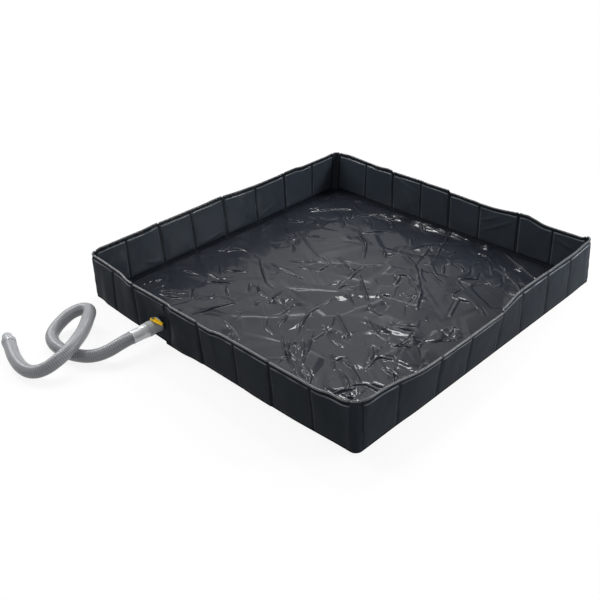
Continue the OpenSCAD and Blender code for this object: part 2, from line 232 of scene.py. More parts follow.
# PVC-coated polyester: a near-black film over a fine scrim, satin to glossy, with soft broad sheen
def coatedFabric(name, base, gloss, level, grain=0.00004, weldShade=0.0, sheenTone="#000000", film=0.0):
    material, tree = newMaterial(name)
    place = addNode(tree, "ShaderNodeTexCoord").outputs["Object"]
    # the film is uneven over about 110 mm; its grain of 1.1 mm is coarser than a real one, so that it shows
    cloud = addNode(tree, "ShaderNodeTexNoise", {"Scale": 9.0, "Detail": 3.0}, {"Vector": place})
    fine = addNode(tree, "ShaderNodeTexNoise", {"Scale": 900.0, "Detail": 2.0}, {"Vector": place})
    shade = addNode(tree, "ShaderNodeMapRange", {"To Min": 0.82, "To Max": 1.22}, {"Value": cloud})
    # where the film is pressed into a weld it is thinner over the black scrim, so darker; on top of that,
    # painted shade darkens the weld grooves and the hem band under the bead, where shade falls
    weld = addNode(tree, "ShaderNodeAttribute", {"attribute_name": "weldAndPaintedShade"}).outputs["Fac"]
    darker = addNode(tree, "ShaderNodeMapRange", {"To Min": 1.0, "To Max": 1 - weldShade}, {"Value": weld})
    deep = addNode(tree, "ShaderNodeMath", {"operation": "MULTIPLY"}, {0: shade, 1: darker})
    plainTone = {"operation": "SCALE", 0: colour(base)[:3]}
    plain = addNode(tree, "ShaderNodeVectorMath", plainTone, {"Scale": deep})
    # painted highlight: paler along the tops and sides of the inserts, where a sheen of light runs along
    # their edges
    sheenMask = addNode(tree, "ShaderNodeAttribute", {"attribute_name": "paintedSheen"}).outputs["Fac"]
    paleTone = {"operation": "SCALE", 0: colour(sheenTone)[:3]}
    pale = addNode(tree, "ShaderNodeVectorMath", paleTone, {"Scale": sheenMask})
    tint = addNode(tree, "ShaderNodeVectorMath", {"operation": "ADD"}, {0: plain, 1: pale})
    rough = addNode(tree, "ShaderNodeMapRange", {"To Min": gloss[0], "To Max": gloss[1]}, {"Value": cloud})
    # the scrim's threads stand 1.7 mm apart and show faintly through the film
    weave = {"Scale": 260.0, "Distortion": 0.6, "Detail": 1.0, "bands_direction": "DIAGONAL"}
    threads = addNode(tree, "ShaderNodeTexWave", weave, {"Vector": place}).outputs["Fac"]
    under = addNode(tree, "ShaderNodeBump", {"Strength": 0.12, "Distance": grain}, {"Height": threads})
    over = {"Height": fine, "Normal": under}
    skin = addNode(tree, "ShaderNodeBump", {"Strength": 0.25, "Distance": grain}, over)
    settings = {
        "IOR": 1.52, "Specular IOR Level": level,
        "Coat Weight": film, "Coat Roughness": 0.11, "Coat IOR": 1.5,
    }
    links = {"Base Color": tint, "Roughness": rough, "Normal": skin}
    shader = addNode(tree, "ShaderNodeBsdfPrincipled", settings, links)
    addNode(tree, "ShaderNodeOutputMaterial", None, {"Surface": shader})
    return material


# a moulded part: even colour with faint flow marks 22 mm wide, and a satin skin with a grain of 0.7 mm
def moulded(name, base, gloss, level=0.5, mottle=0.06, metallic=0.0, grain=0.00005):
    material, tree = newMaterial(name)
    place = addNode(tree, "ShaderNodeTexCoord").outputs["Object"]
    cloud = addNode(tree, "ShaderNodeTexNoise", {"Scale": 45.0, "Detail": 4.0}, {"Vector": place})
    fine = addNode(tree, "ShaderNodeTexNoise", {"Scale": 1500.0, "Detail": 1.0}, {"Vector": place})
    shades = {"To Min": 1 - mottle, "To Max": 1 + mottle}
    shade = addNode(tree, "ShaderNodeMapRange", shades, {"Value": cloud})
    tone = {"operation": "SCALE", 0: colour(base)[:3]}
    tint = addNode(tree, "ShaderNodeVectorMath", tone, {"Scale": shade})
    glosses = {"To Min": gloss - 0.06, "To Max": gloss + 0.06}
    rough = addNode(tree, "ShaderNodeMapRange", glosses, {"Value": cloud})
    bump = addNode(tree, "ShaderNodeBump", {"Strength": 0.3, "Distance": grain}, {"Height": fine})
    settings = {"Metallic": metallic}
    if metallic == 0:
        settings["Specular IOR Level"] = level
    links = {"Base Color": tint, "Roughness": rough, "Normal": bump}
    shader = addNode(tree, "ShaderNodeBsdfPrincipled", settings, links)
    addNode(tree, "ShaderNodeOutputMaterial", None, {"Surface": shader})
    return material


# calendered film on the outside, a darker shaded copy of the same film inside: hardly any shine, and a pale
# painted highlight along the edges of its inserts
outerPvc = coatedFabric(
    "coatedPvcOuter", "#2f343a", (0.36, 0.46), 0.012, weldShade=0.48, sheenTone="#7a7f85"
)
# the same film inside, its colour painted paler than the outside's as painted light: satin, with darker
# welds under painted shade
innerPvc = coatedFabric(
    "coatedPvcInner", "#343b43", (0.24, 0.36), 0.30, weldShade=0.70, sheenTone="#545a61"
)
# the floor's film, pressed smooth: darker, with a gloss on top that mirrors softly
floorPvc = coatedFabric("coatedPvcFloor", "#20242b", (0.30, 0.38), 0.08, grain=0.00002, film=0.37)
# extruded cord under welded film, painted paler than the film itself as a painted highlight along the rim:
# smooth, with a narrow bright line along it
beadPvc = moulded("weldedBeadPvc", "#4a4e52", 0.31, 0.7, grain=0.00001)
insertBoard = moulded("polypropyleneBoard", "#3c3f42", 0.6, 0.4)  # extruded, matt
greyPvc = moulded("mouldedGreyPvc", "#c2c5c8", 0.30, 0.5)  # injection moulded, pale satin
blackPvc = moulded("mouldedBlackPvc", "#1b1d20", 0.4, 0.4)  # injection moulded, a soft dark sheen
vinylCuff = moulded("silverVinylCuff", "#e0e2e4", 0.32, metallic=0.25)  # silver pigment, a pale sheen
greyCuff = moulded("greyVinylCuff", "#a0a3a7", 0.28, 0.7)  # plain soft vinyl, satin
yellowNylon = moulded("yellowNylon", "#fccd12", 0.28, 0.7, 0.08)  # injection moulded, bright and smooth
rubberSeal = moulded("epdmRubber", "#121314", 0.7, 0.3)  # moulded rubber, matt black
seatPtfe = moulded("ptfeSeat", "#e9e8e3", 0.45, 0.4)  # machined, waxy white
ballChrome = moulded("chromedBrass", "#d5d7da", 0.12, metallic=1.0, mottle=0.02, grain=0.00001)  # a mirror
stemSteel = moulded("turnedStainless", "#a9abae", 0.34, metallic=1.0, mottle=0.05)  # a soft grey sheen
print("materials made")

hose = {
    "radius": 0.0200,
    "wall": 0.0025,
    "ribPitch": 0.0060,  # one rib every 6 mm
    "ribDepth": 0.0004,
    "crestTone": "#96979b",
    # painted shade in the grooves between the ribs
    "grooveShadeTone": "#76777c",
    "stepsPerRib": 6,
    "around": 40,
    "exit": (-0.205, -0.7074, 0.058),
    # along X and outwards from the end of the cuff, then the height of the axis
    "route": [
        (0, 0, 0.058), (0, 0.018, 0.058), (-0.004, 0.043, 0.053), (-0.015, 0.070, 0.042),
        (-0.034, 0.095, 0.031), (-0.060, 0.117, 0.024), (-0.092, 0.135, 0.022), (-0.128, 0.147, 0.022),
        (-0.167, 0.151, 0.022), (-0.205, 0.147, 0.022), (-0.238, 0.133, 0.025), (-0.258, 0.108, 0.031),
        (-0.267, 0.077, 0.041), (-0.268, 0.048, 0.051), (-0.263, 0.022, 0.056), (-0.249, 0.005, 0.060),
        (-0.227, 0.002, 0.064), (-0.202, 0.013, 0.068), (-0.173, 0.037, 0.071), (-0.141, 0.066, 0.073),
        (-0.111, 0.098, 0.074), (-0.088, 0.133, 0.072), (-0.072, 0.169, 0.066), (-0.068, 0.204, 0.056),
        (-0.077, 0.236, 0.041), (-0.097, 0.260, 0.029), (-0.127, 0.274, 0.022), (-0.162, 0.278, 0.022),
        (-0.199, 0.273, 0.022), (-0.236, 0.264, 0.022), (-0.271, 0.252, 0.022), (-0.300, 0.242, 0.022),
    ],
}

hoseKnots = np.array(hose["route"]) * [1, -1, 1] + [hose["exit"][0], hose["exit"][1], 0]
hoseLine, hoseAlong = curveThrough(hoseKnots, hose["ribPitch"] / hose["stepsPerRib"])


# extruded corrugated vinyl: grey with a soft sheen, uneven over 33 mm, with painted shade between its ribs
def corrugatedVinyl(name, crest, groove):
    material, tree = newMaterial(name)
    place = addNode(tree, "ShaderNodeTexCoord").outputs["Object"]
    rib = addNode(tree, "ShaderNodeAttribute", {"attribute_name": "ribHeight"}).outputs["Fac"]
    cloud = addNode(tree, "ShaderNodeTexNoise", {"Scale": 30.0, "Detail": 4.0}, {"Vector": place})
    # inputs 6 and 7 and output 2 of a mix are its colours
    # the groove's tone is painted shade, darker where the ribs sink
    tones = {"data_type": "RGBA", 6: colour(groove), 7: colour(crest)}
    mix = addNode(tree, "ShaderNodeMix", tones, {"Factor": rib}).outputs[2]
    shade = addNode(tree, "ShaderNodeMapRange", {"To Min": 0.88, "To Max": 1.1}, {"Value": cloud})
    tint = addNode(tree, "ShaderNodeVectorMath", {"operation": "SCALE"}, {0: mix, "Scale": shade})
    rough = addNode(tree, "ShaderNodeMapRange", {"To Min": 0.27, "To Max": 0.39}, {"Value": cloud})
    links = {"Base Color": tint, "Roughness": rough}
    shader = addNode(tree, "ShaderNodeBsdfPrincipled", {"Specular IOR Level": 0.65}, links)
    addNode(tree, "ShaderNodeOutputMaterial", None, {"Surface": shader})
    return material


def makeHose():
    # ring radius = radius - depth x (1 + cos(turns of the rib)) / 2; the inside is a plain smaller tube
    around, rows = hose["around"], len(hoseLine)
    wave = (1 - np.cos(2 * math.pi * hoseAlong / hose["ribPitch"])) / 2
    outside = ribbon(hoseLine, hose["radius"] - hose["ribDepth"] * (1 - wave), around)
    inside = ribbon(hoseLine, hose["radius"] - hose["wall"], around)
    quads = gridFaces(rows, around, closeCols=True)
    count = rows * around
    j = np.arange(around)
    j2 = (j + 1) % around
    last = (rows - 1) * around
    near = np.stack([j, j2, j2 + count, j + count], axis=-1)
    far = np.stack([last + j2, last + j, last + j + count, last + j2 + count], axis=-1)
    faces = np.concatenate([quads[:, ::-1], quads + count, near, far])
    points = np.concatenate([outside.reshape(-1, 3), inside.reshape(-1, 3)])
    # the rib height also sets the painted shade between the ribs
    marks = {"ribHeight": np.concatenate([np.repeat(wave, around), np.zeros(count)])}
    vinyl = corrugatedVinyl("corrugatedVinyl", hose["crestTone"], hose["grooveShadeTone"])
    piece = newPiece("drainHose", points, faces, vinyl, "hose", marks=marks)
    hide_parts("drain_hose")
    return piece


drainHose = makeHose()


def lathe(name, profile, start, direction, material, node, around=64, sharp=38):
    # a closed profile of (distance along the axis, radius) turned round the axis from start;
    # an edge that turns by more than sharp degrees stays crisp
    profile = np.asarray(profile, float)
    d = np.asarray(direction, float) / np.linalg.norm(direction)
    across = np.cross(d, [0, 0, 1])
    up = np.cross(across, d)
    a = np.arange(around) * 2 * math.pi / around
    turn = np.cos(a)[None, :, None] * across + np.sin(a)[None, :, None] * up
    points = np.asarray(start) + profile[:, 0, None, None] * d + profile[:, 1, None, None] * turn
    faces = gridFaces(len(profile), around, closeRows=True, closeCols=True)
    piece = newPiece(name, points.reshape(-1, 3), faces, material, "hose")
    piece.data.set_sharp_from_angle(angle=math.radians(sharp))
    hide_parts(node)
    return piece


# metres along the axis and radius, outside first and back along the bore
valveCuff = [
    (0, 0.0168), (0, 0.0216), (0.0006, 0.0222), (0.012, 0.0222), (0.0135, 0.0219), (0.0150, 0.0212),
    (0.030, 0.0209), (0.0304, 0.0213), (0.0330, 0.0213), (0.0334, 0.0209),
    (0.052, 0.0208), (0.0525, 0.0212), (0.0560, 0.0212), (0.0568, 0.0206), (0.0570, 0.0190),
    (0.0560, 0.0161), (0.002, 0.0161),
]
cuffStart = np.array(hose["exit"]) + [0, 0.056, 0]  # it reaches 56 mm back over the hose tail
cuffOnValve = lathe("valveCuff", valveCuff, cuffStart, (0, -1, 0), vinylCuff, "hose_cuff")
hoseEnd = hoseKnots[-1]
endAxis = (hoseKnots[-1] - hoseKnots[-2]) * [1, 1, 0]
endProfile = [
    (-0.001, 0.0190), (-0.0008, 0.0206), (0.0002, 0.0210), (0.0112, 0.0210), (0.0122, 0.0216),
    (0.0134, 0.0218), (0.0190, 0.0218), (0.0198, 0.0214), (0.0200, 0.0206), (0.0200, 0.0150),
    (0.001, 0.0150),
]
cuffAtEnd = lathe("endCuff", endProfile, hoseEnd, endAxis, greyCuff, "end_cuff")
spigotProfile = [
    (0.0002, 0.0131), (0.0002, 0.0149), (0.0200, 0.0149), (0.0202, 0.0158), (0.0208, 0.0160),
    (0.0460, 0.0160), (0.0474, 0.0157), (0.0480, 0.0149), (0.0480, 0.0138), (0.0472, 0.0131),
]
spigot = lathe("outletSpigot", spigotProfile, hoseEnd, endAxis, greyCuff, "outlet_spigot")
print("cuffs and spigot made")

tray = {
    "half": 0.596,  # from the middle to the middle plane of a wall
    "wallEnd": 0.576,  # where a wall ends and its corner begins
    "height": 0.160,
    "insertTop": 0.139,
    "skin": 0.0010,  # thickness of a skin
    "skinFoot": {True: 0.0008, False: 0.0016},  # where the outer and the inner skins begin
    "skinTop": 0.1545,  # where they end inside the rim bead
    "closeBelow": 0.014,  # below and above these heights a skin's points stand closer together
    "closeAbove": 0.130,
    "rimStep": 0.0010,
    "stepFade": (0.08, 0.005),  # over what length the steps fade at a corner and at a seam
    "footRadius": 0.020,  # corner radius at the ground, on the middle plane
    "rimRadius": {"frontLeft": 0.024, "frontRight": 0.060, "backRight": 0.028, "backLeft": 0.026},
    "evenTo": 0.40,  # up to here u is the distance along the wall itself
    # how each corner is moved at the rim (x, y, z) and at the foot (x, y), and over what length this fades
    "moved": {
        "frontLeft": ((0, 0.014, 0), (0, 0.008), 0.30),
        "frontRight": ((0.004, 0, 0), (0, 0.005), 0.20),
        "backRight": ((-0.005, -0.005, 0.003), (0, 0), 0.15),
        "backLeft": ((0.008, 0.008, 0.004), (0, 0), 0.25),
    },
    # at these corners the outer skin of the named wall lies full to its end, with no groove
    "wrapped": {
        "frontRight": ("front",),
        "backRight": ("right", "back"),
        "frontLeft": ("front", "left"),
        "backLeft": ("left", "back"),
    },
}
cornerMiddle = tray["wallEnd"] + tray["footRadius"] * math.pi / 4  # u at the middle of a corner

# the drain in the front wall; distances from its axis
drain = {
    "place": (-0.205, 0.058),  # along the wall and up it
    "unswollen": (0.040, 0.050),  # nearer than this the wall doesn't swell, and how far it takes to start
    "flatTo": 0.045,  # from here inwards the cloth goes flat
    "flatFade": 0.016,
    "flatDepth": 0.0040,
    "hole": 0.0175,  # the cloth is opened out so that its middle comes here
    "pulled": 0.032,  # and stays where it is from here outwards
    "cut": 0.006,  # cloth nearer than this is cut away before it is opened out
    "boardHole": 0.026,
}

# each wall: its turn, its corners at the low and the high end, the seed of its waves, the seams between its
# panels, and where it swells: from and to, the lengths over which the swell fades at either side, how far it
# goes out at the foot and at the rim, and how far the rim rises
walls = {
    "front": {
        "turn": 0,
        "corners": ("frontLeft", "frontRight"),
        "seed": 10,
        "seams": [-0.450, -0.323, -0.161, -0.003, 0.150, 0.295, 0.449],
        "swells": [
            (-0.33, 0.46, 0.09, 0.07, 0, 0.008, -0.003),
            (-0.15, 0.34, 0.15, 0.14, 0.003, 0, 0),
            (-0.12, 0.05, 0.03, 0.03, 0, 0.004, -0.002),
            (0.004, 0.07, 0.004, 0.03, 0, 0, -0.003),
            (-0.50, -0.31, 0.06, 0.05, 0.006, 0, 0),
            (-0.17, -0.13, 0.02, 0.11, 0.007, 0, 0),
            (-0.07, -0.010, 0.07, 0.006, 0.002, 0, 0),
            (0.23, 0.288, 0.07, 0.006, 0.002, 0, 0),
        ],
    },
    "right": {
        "turn": 90,
        "corners": ("frontRight", "backRight"),
        "seed": 20,
        "seams": [-0.434, -0.266, -0.126, 0.029, 0.157, 0.300, 0.437],
        "swells": [
            (-0.28, 0.024, 0.28, 0.016, 0, 0.008, -0.006),
            (-0.27, 0.00, 0.30, 0.17, 0, 0.012, -0.009),
            (-0.33, 0.44, 0.12, 0.12, 0.0025, 0, 0),
        ],
    },
    "back": {
        "turn": 180,
        "corners": ("backRight", "backLeft"),
        "seed": 30,
        "seams": [-0.442, -0.303, -0.139, -0.002, 0.133, 0.275, 0.420],
        "swells": [
            (-0.55, -0.425, 0.04, 0.085, 0, 0, -0.0125),
            (-0.335, -0.305, 0.03, 0.015, 0, 0, 0.004),
            (-0.20, -0.006, 0.13, 0.006, 0, 0, -0.0085),
            (-0.17, -0.10, 0.08, 0.08, 0, 0, -0.0025),
            (-0.10, -0.006, 0.05, 0.006, 0, 0, 0.003),
            (0.14, 0.30, 0.05, 0.05, 0, 0, 0.003),
            (0.31, 0.51, 0.05, 0.07, 0, 0.005, 0.001),
            (0.40, 0.50, 0.04, 0.08, 0, 0.001, 0.001),
        ],
    },
    "left": {
        "turn": 270,
        "corners": ("backLeft", "frontLeft"),
        "seed": 40,
        "seams": [-0.458, -0.305, -0.152, 0.004, 0.157, 0.298, 0.450],
        "swells": [
            (-0.52, -0.42, 0.06, 0.06, 0, 0, -0.0035),
            (-0.36, -0.31, 0.05, 0.02, 0, 0, 0.0025),
            (-0.27, -0.13, 0.04, 0.05, 0, 0, -0.0015),
            (-0.12, 0.04, 0.03, 0.05, 0, 0, 0.002),
            (0.03, 0.30, 0.14, 0.10, 0, 0.010, 0.002),
            (0.40, 0.55, 0.08, 0.03, 0, 0, 0.0045),
        ],
    },
}


def panelEdges(wall):
    # the two ends of a wall and the seams between
    return np.concatenate([[-tray["wallEnd"]], walls[wall]["seams"], [tray["wallEnd"]]])


def nearDrain(u, z):
    return np.hypot(u - drain["place"][0], z - drain["place"][1])


def swell(wall, u, column):
    # the sum over the wall's swells of one of their sizes, each fading by a smooth step beyond its two ends
    total = np.zeros(np.shape(u))
    for row in walls[wall]["swells"]:
        low, high, fadeLow, fadeHigh = row[:4]
        total = total + row[column] * softStep(1 - np.maximum((low - u) / fadeLow, (u - high) / fadeHigh))
    return total


def rimStep(wall, u):
    # each pair of panels rises along its rim towards one end and drops again at the seam after it
    pairs = panelEdges(wall)[::2]
    i = np.clip(np.searchsorted(pairs, u) - 1, 0, len(pairs) - 2)
    t = (u - pairs[i]) / (pairs[i + 1] - pairs[i])
    way = 1 if wall in ("front", "right") else -1
    ramp = way * (2 * t - 1)
    atCorner, atSeam = tray["stepFade"]
    hold = softStep((tray["wallEnd"] - np.abs(u)) / atCorner)
    near = softStep(np.minimum(u - pairs[i], pairs[i + 1] - u) / atSeam)
    return tray["rimStep"] * ramp * hold * near


def ringPoint(wall, u, depth, z):
    # a point of the tray's wall ring. u runs along the wall from corner to corner, past wallEnd round the
    # corner as far as its middle; depth is outwards from the middle plane. The ring is a square, its corners
    # arcs of a radius that grows with height to the power 1.3. The walls then swell out with height to the
    # power 1.5, except round the drain, and the corners are moved.
    spec = walls[wall]
    u, depth, z = np.broadcast_arrays(u, depth, z)
    share = np.clip(z / tray["height"], 0, 1)
    lowEnd, highEnd = spec["corners"]
    rimRadius = np.where(u < 0, tray["rimRadius"][lowEnd], tray["rimRadius"][highEnd])
    radius = tray["footRadius"] + (rimRadius - tray["footRadius"]) * share ** 1.3
    side = np.abs(u)
    straight = tray["half"] - radius
    arcEnd = straight + radius * math.pi / 4
    even = tray["evenTo"]
    s = np.where(side < even, side, even + (side - even) * (arcEnd - even) / (cornerMiddle - even))
    turn = np.clip((s - straight) / radius, 0, math.pi / 4)
    x = np.where(u < 0, -1.0, 1.0) * (np.minimum(s, straight) + radius * np.sin(turn) + depth * np.sin(turn))
    y = -tray["half"] + radius * (1 - np.cos(turn)) - depth * np.cos(turn)
    free = 1.0
    if wall == "front":
        free = softStep((nearDrain(u, z) - drain["unswollen"][0]) / drain["unswollen"][1])
    foot, rim, rise = (swell(wall, u, column) * free for column in (4, 5, 6))
    y = y - foot - (rim - foot) * share ** 1.5
    z = z + (rimStep(wall, u) + rise) * share ** 1.5
    px, py = turned(x, y, -math.radians(spec["turn"]))
    for corner, way in ((lowEnd, -1), (highEnd, 1)):
        rim, foot, reach = tray["moved"][corner]
        weight = softStep(1 - (cornerMiddle - way * u) / reach)
        px = px + weight * (foot[0] + (rim[0] - foot[0]) * share)
        py = py + weight * (foot[1] + (rim[1] - foot[1]) * share)
        z = z + weight * rim[2] * share
    return np.stack([px, py, z], axis=-1)


def wallStations(wall):
    # stations along a wall: 1.6 mm apart within 22 mm of a seam or an end, and 5 mm apart between
    u = np.linspace(-tray["wallEnd"], tray["wallEnd"], 8001)
    near = np.min(np.abs(u[:, None] - panelEdges(wall)[None, :]), axis=1)
    density = 1 / np.where(near < 0.022, 0.0016, 0.005)
    total = np.concatenate([[0], np.cumsum((density[1:] + density[:-1]) / 2 * np.diff(u))])
    return np.interp(np.linspace(0, total[-1], int(total[-1]) + 1), total, u)


def heightStations(low):
    # heights: close together near the ground and over the hem, wider between
    return np.concatenate([
        np.linspace(low, tray["closeBelow"], 10)[:-1],
        np.linspace(tray["closeBelow"], tray["closeAbove"], 25)[:-1],
        np.linspace(tray["closeAbove"], tray["skinTop"], 27),
    ])


def clearOf(hole):
    # the cells of a grid that have none of their corners in the hole
    return ~(hole[:-1, :-1] | hole[1:, :-1] | hole[:-1, 1:] | hole[1:, 1:])


# how a skin lies over its inserts
pocket = {
    "weld": 0.0011,  # depth of a skin from the middle plane at a weld
    "full": 0.0040,  # depth over an insert
    "crown": 0.0012,  # extra depth in the middle of a panel
    "pairWeld": 0.003,  # half width of the weld inside a pair
    "endWeld": 0.005,  # half width of the weld between pairs
    "rise": 0.008,  # how far a skin takes to rise from a weld on to its insert
    "foot": (0.003, 0.012),  # where it begins to rise above the ground, and how far it takes
    "hem": 0.006,  # how far above the inserts it is down at the hem again
    "shoulder": 0.0050,  # how far it takes to fall to the hem
    "dip": 0.0012,  # how much the hem's line waves
    "wrap": (0.03, 0.75),  # where a skin lies full to its end: over what length, and how full
    "wave": 0.0010,
    "hemWave": 0.0008,
    # painted shade: how dark each wall's welds and hem band are painted, less on the right wall, where the
    # light falls on them
    "shade": {"front": 1.0, "back": 1.0, "left": 1.0, "right": 0.6},  # how dark each wall's welds are
    # painted highlight along the sides of the inserts: faint on the outer skins, stronger on the inner ones
    "sideSheen": {True: 0.12, False: 0.50},  # outer and inner skins
    "crease": (0.0022, 0.0045),  # height and half width of a slack crease
    # slack creases of the inner skins: the two ends of each, along the wall and up it
    "creases": {
        "back": [
            ((0.262, 0.138), (0.150, 0.050)), ((0.262, 0.134), (0.195, 0.025)),
            ((0.258, 0.141), (0.146, 0.100)), ((-0.455, 0.120), (-0.540, 0.095)),
            ((-0.160, 0.050), (-0.280, 0.120)), ((-0.150, 0.090), (-0.230, 0.130)),
        ],
        "left": [
            ((-0.158, 0.020), (-0.250, 0.050)), ((0.020, 0.030), (0.100, 0.020)),
            ((0.300, 0.015), (0.380, 0.040)),
        ],
    },
}


def slackCreases(wall, u, z):
    # height x exp(-(distance to the crease / half width)^2) x the root of an arch from end to end
    total = np.zeros(u.shape)
    rise, width = pocket["crease"]
    for start, end in pocket["creases"].get(wall, ()):
        run = np.array(end) - start
        t = np.clip(((u - start[0]) * run[0] + (z - start[1]) * run[1]) / (run @ run), 0, 1)
        away = np.hypot(u - start[0] - t * run[0], z - start[1] - t * run[1])
        total = total + rise * np.exp(-((away / width) ** 2)) * arch(t) ** 0.5
    return total


def skinDepth(wall, u, z, seed, outside):
    # depth = weld + rise across the panel x rise above the foot x fall to the hem x (full + crown + waves)
    edges = panelEdges(wall)
    i = np.clip(np.searchsorted(edges, u) - 1, 0, len(edges) - 2)
    left, right = edges[i], edges[i + 1]
    weldLeft = np.where(i % 2 == 0, pocket["endWeld"], pocket["pairWeld"])
    weldRight = np.where(i % 2 == 0, pocket["pairWeld"], pocket["endWeld"])
    fromLeft = (u - left - weldLeft) / pocket["rise"]
    fromRight = (right - u - weldRight) / pocket["rise"]
    across = easeOut(np.minimum(fromLeft, fromRight))
    reach, fullness = pocket["wrap"]
    for end, corner in zip((-1, 1), walls[wall]["corners"]):
        if outside and wall in tray["wrapped"][corner]:
            near = softStep(1 - (tray["wallEnd"] - end * u) / reach)
            across = across * (1 - near) + near * fullness
    foot = easeOut((z - pocket["foot"][0]) / pocket["foot"][1])
    dip = pocket["dip"] * smoothNoise(u, z * 0, 0.05, seed + 3)
    hem = easeOut((tray["insertTop"] + pocket["hem"] + dip - z) / pocket["shoulder"])
    middle = arch((u - left) / (right - left)) * arch(z / tray["insertTop"])
    waves = 0.6 * smoothNoise(u, z, 0.050, seed) + 0.4 * smoothNoise(u, z * 0.6, 0.022, seed + 1)
    over = pocket["full"] - pocket["weld"] + pocket["crown"] * middle + pocket["wave"] * waves
    if not outside:
        over = over + slackCreases(wall, u, z)
    hemWave = pocket["hemWave"] * smoothNoise(u, z, 0.030, seed + 2) * (1 - across * foot * hem)
    depth = pocket["weld"] + across * foot * hem * over + np.abs(hemWave) * softStep(z / 0.02)
    # marks: where the skin is pressed into a weld, with painted shade there and on the hem band, and a
    # painted highlight along the tops and sides of its inserts
    uneven = 0.75 + 0.4 * smoothNoise(u, z, 0.035, seed + 4)
    top = 4 * hem * (1 - hem) * across * foot
    sides = 4 * across * (1 - across) * foot * hem
    # painted highlight where the skin bends over the top and the sides of an insert
    paintedSheen = (top + pocket["sideSheen"][outside] * sides) * uneven
    return depth, {"weldAndPaintedShade": (1 - across * foot * hem) * pocket["shade"][wall], "paintedSheen": paintedSheen}


def makeSkin(wall, outside):
    # one grid at the skin's depth over the inserts, and a second one its thickness behind
    zz, uu = np.meshgrid(heightStations(tray["skinFoot"][outside]), wallStations(wall), indexing="ij")
    depth, marks = skinDepth(wall, uu, zz, walls[wall]["seed"] + (0 if outside else 5), outside)
    keep = None
    if wall == "front":
        # the cloth round the drain is clamped flat, and opened out to the hole
        r = nearDrain(uu, zz)
        flat = softStep((drain["flatTo"] - r) / drain["flatFade"])
        depth = depth * (1 - flat) + drain["flatDepth"] * flat
        marks = {mark: values * (1 - flat) for mark, values in marks.items()}
        hole, pulled = drain["hole"], drain["pulled"]
        stretch = (hole + (pulled - hole) * np.clip(r / pulled, 0, 1)) / np.maximum(r, 1e-6)
        stretch = np.where(r < pulled, stretch, 1.0)
        uu = drain["place"][0] + (uu - drain["place"][0]) * stretch
        zz = drain["place"][1] + (zz - drain["place"][1]) * stretch
        keep = clearOf(r < drain["cut"])
    way = 1 if outside else -1
    front = ringPoint(wall, uu, way * depth, zz)
    back = ringPoint(wall, uu, way * (depth - tray["skin"]), zz)
    points, faces = closedShell(front, back, keep, flip=not outside)
    side, material = ("Outer", outerPvc) if outside else ("Inner", innerPvc)
    marks = {mark: np.tile(values.reshape(-1), 2) for mark, values in marks.items()}
    piece = newPiece(wall + side + "Skin", points, faces, material, None, marks=marks)
    nodes = [wall + "_" + side.lower() + "_skin"]
    if wall in ("front", "back"):
        # these two walls hinge on the liner itself, which bends here
        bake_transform(piece)
        if outside:
            nodes.append(wall + "_fold_strip")
    else:
        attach(piece, wall + "_wall")
    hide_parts(*nodes)


for wall in walls:
    makeSkin(wall, True)
    makeSkin(wall, False)
    print("skins of the", wall, "wall made")

insert = {
    "half": 0.0022,  # half of a board's thickness
    "side": 0.013,  # from a seam to the board beside it
    "foot": {"front": 0.016, "right": 0.008, "back": 0.016, "left": 0.008},
    "below": 0.002,  # how far under insertTop a board ends
}


def makeInserts(wall):
    # each board is a closed block of two parameters, along the wall and up it
    edges = panelEdges(wall)
    half = insert["half"]
    parts = []
    for left, right in zip(edges[:-1], edges[1:]):
        u = np.linspace(left + insert["side"], right - insert["side"], 24)
        z = np.linspace(insert["foot"][wall], tray["insertTop"] - insert["below"], 12)
        zz, uu = np.meshgrid(z, u, indexing="ij")
        keep = clearOf(nearDrain(uu, zz) < drain["boardHole"]) if wall == "front" else None
        parts.append(closedShell(ringPoint(wall, uu, half, zz), ringPoint(wall, uu, -half, zz), keep))
    points, faces = joinGrids(parts)
    piece = newPiece(wall + "Inserts", points, faces, insertBoard, wall + "_wall", smooth=False)
    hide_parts(wall + "_inserts")


for wall in walls:
    makeInserts(wall)
print("inserts made")

bead = {
    "radius": 0.0030,
    "height": 0.1565,
    "gap": 0.0010,  # from a seam to the end of a bead
    "tip": 0.0015,  # how far a bead takes to taper
    "step": 0.004,  # between its rings
    "wave": 0.0004,
    "around": 16,
}


def makeRimBeads(wall):
    # a tube along the rim for each pair of panels: radius x root of (distance to its end / tip), at the ends
    # a fiftieth of the radius
    edges = panelEdges(wall)[::2]
    parts = []
    for low, high in zip(edges[:-1] + bead["gap"], edges[1:] - bead["gap"]):
        u = np.linspace(low, high, max(8, int((high - low) / bead["step"])))
        end = np.minimum(u - low, high - u)
        radius = bead["radius"] * np.sqrt(np.clip(end / bead["tip"], 0.0004, 1))
        line = ringPoint(wall, u, bead["wave"] * smoothNoise(u, u * 0, 0.04, 90), bead["height"])
        parts.append(closedTube(line, radius, bead["around"]))
    points, faces = joinGrids(parts)
    piece = newPiece(wall + "RimBeads", points, faces, beadPvc, wall + "_wall")
    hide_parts(wall + "_rim_beads")


for wall in walls:
    makeRimBeads(wall)
print("rim beads made")

gusset = {
    "lap": 0.001,  # how far it lies over the end of a skin
    "foot": 0.0010,
    "weld": 0.0012,  # its depth at the foot and at the hem, and in the middle of the corner between them
    "full": {"frontLeft": 0.0034, "frontRight": 0.0030, "backRight": 0.0034, "backLeft": 0.0034},
    "inside": -0.0013,
    "rise": 0.012,  # how far it takes to rise above the ground
    "hem": 0.008,
    "shoulder": 0.010,
    "pucker": 0.0005,
}


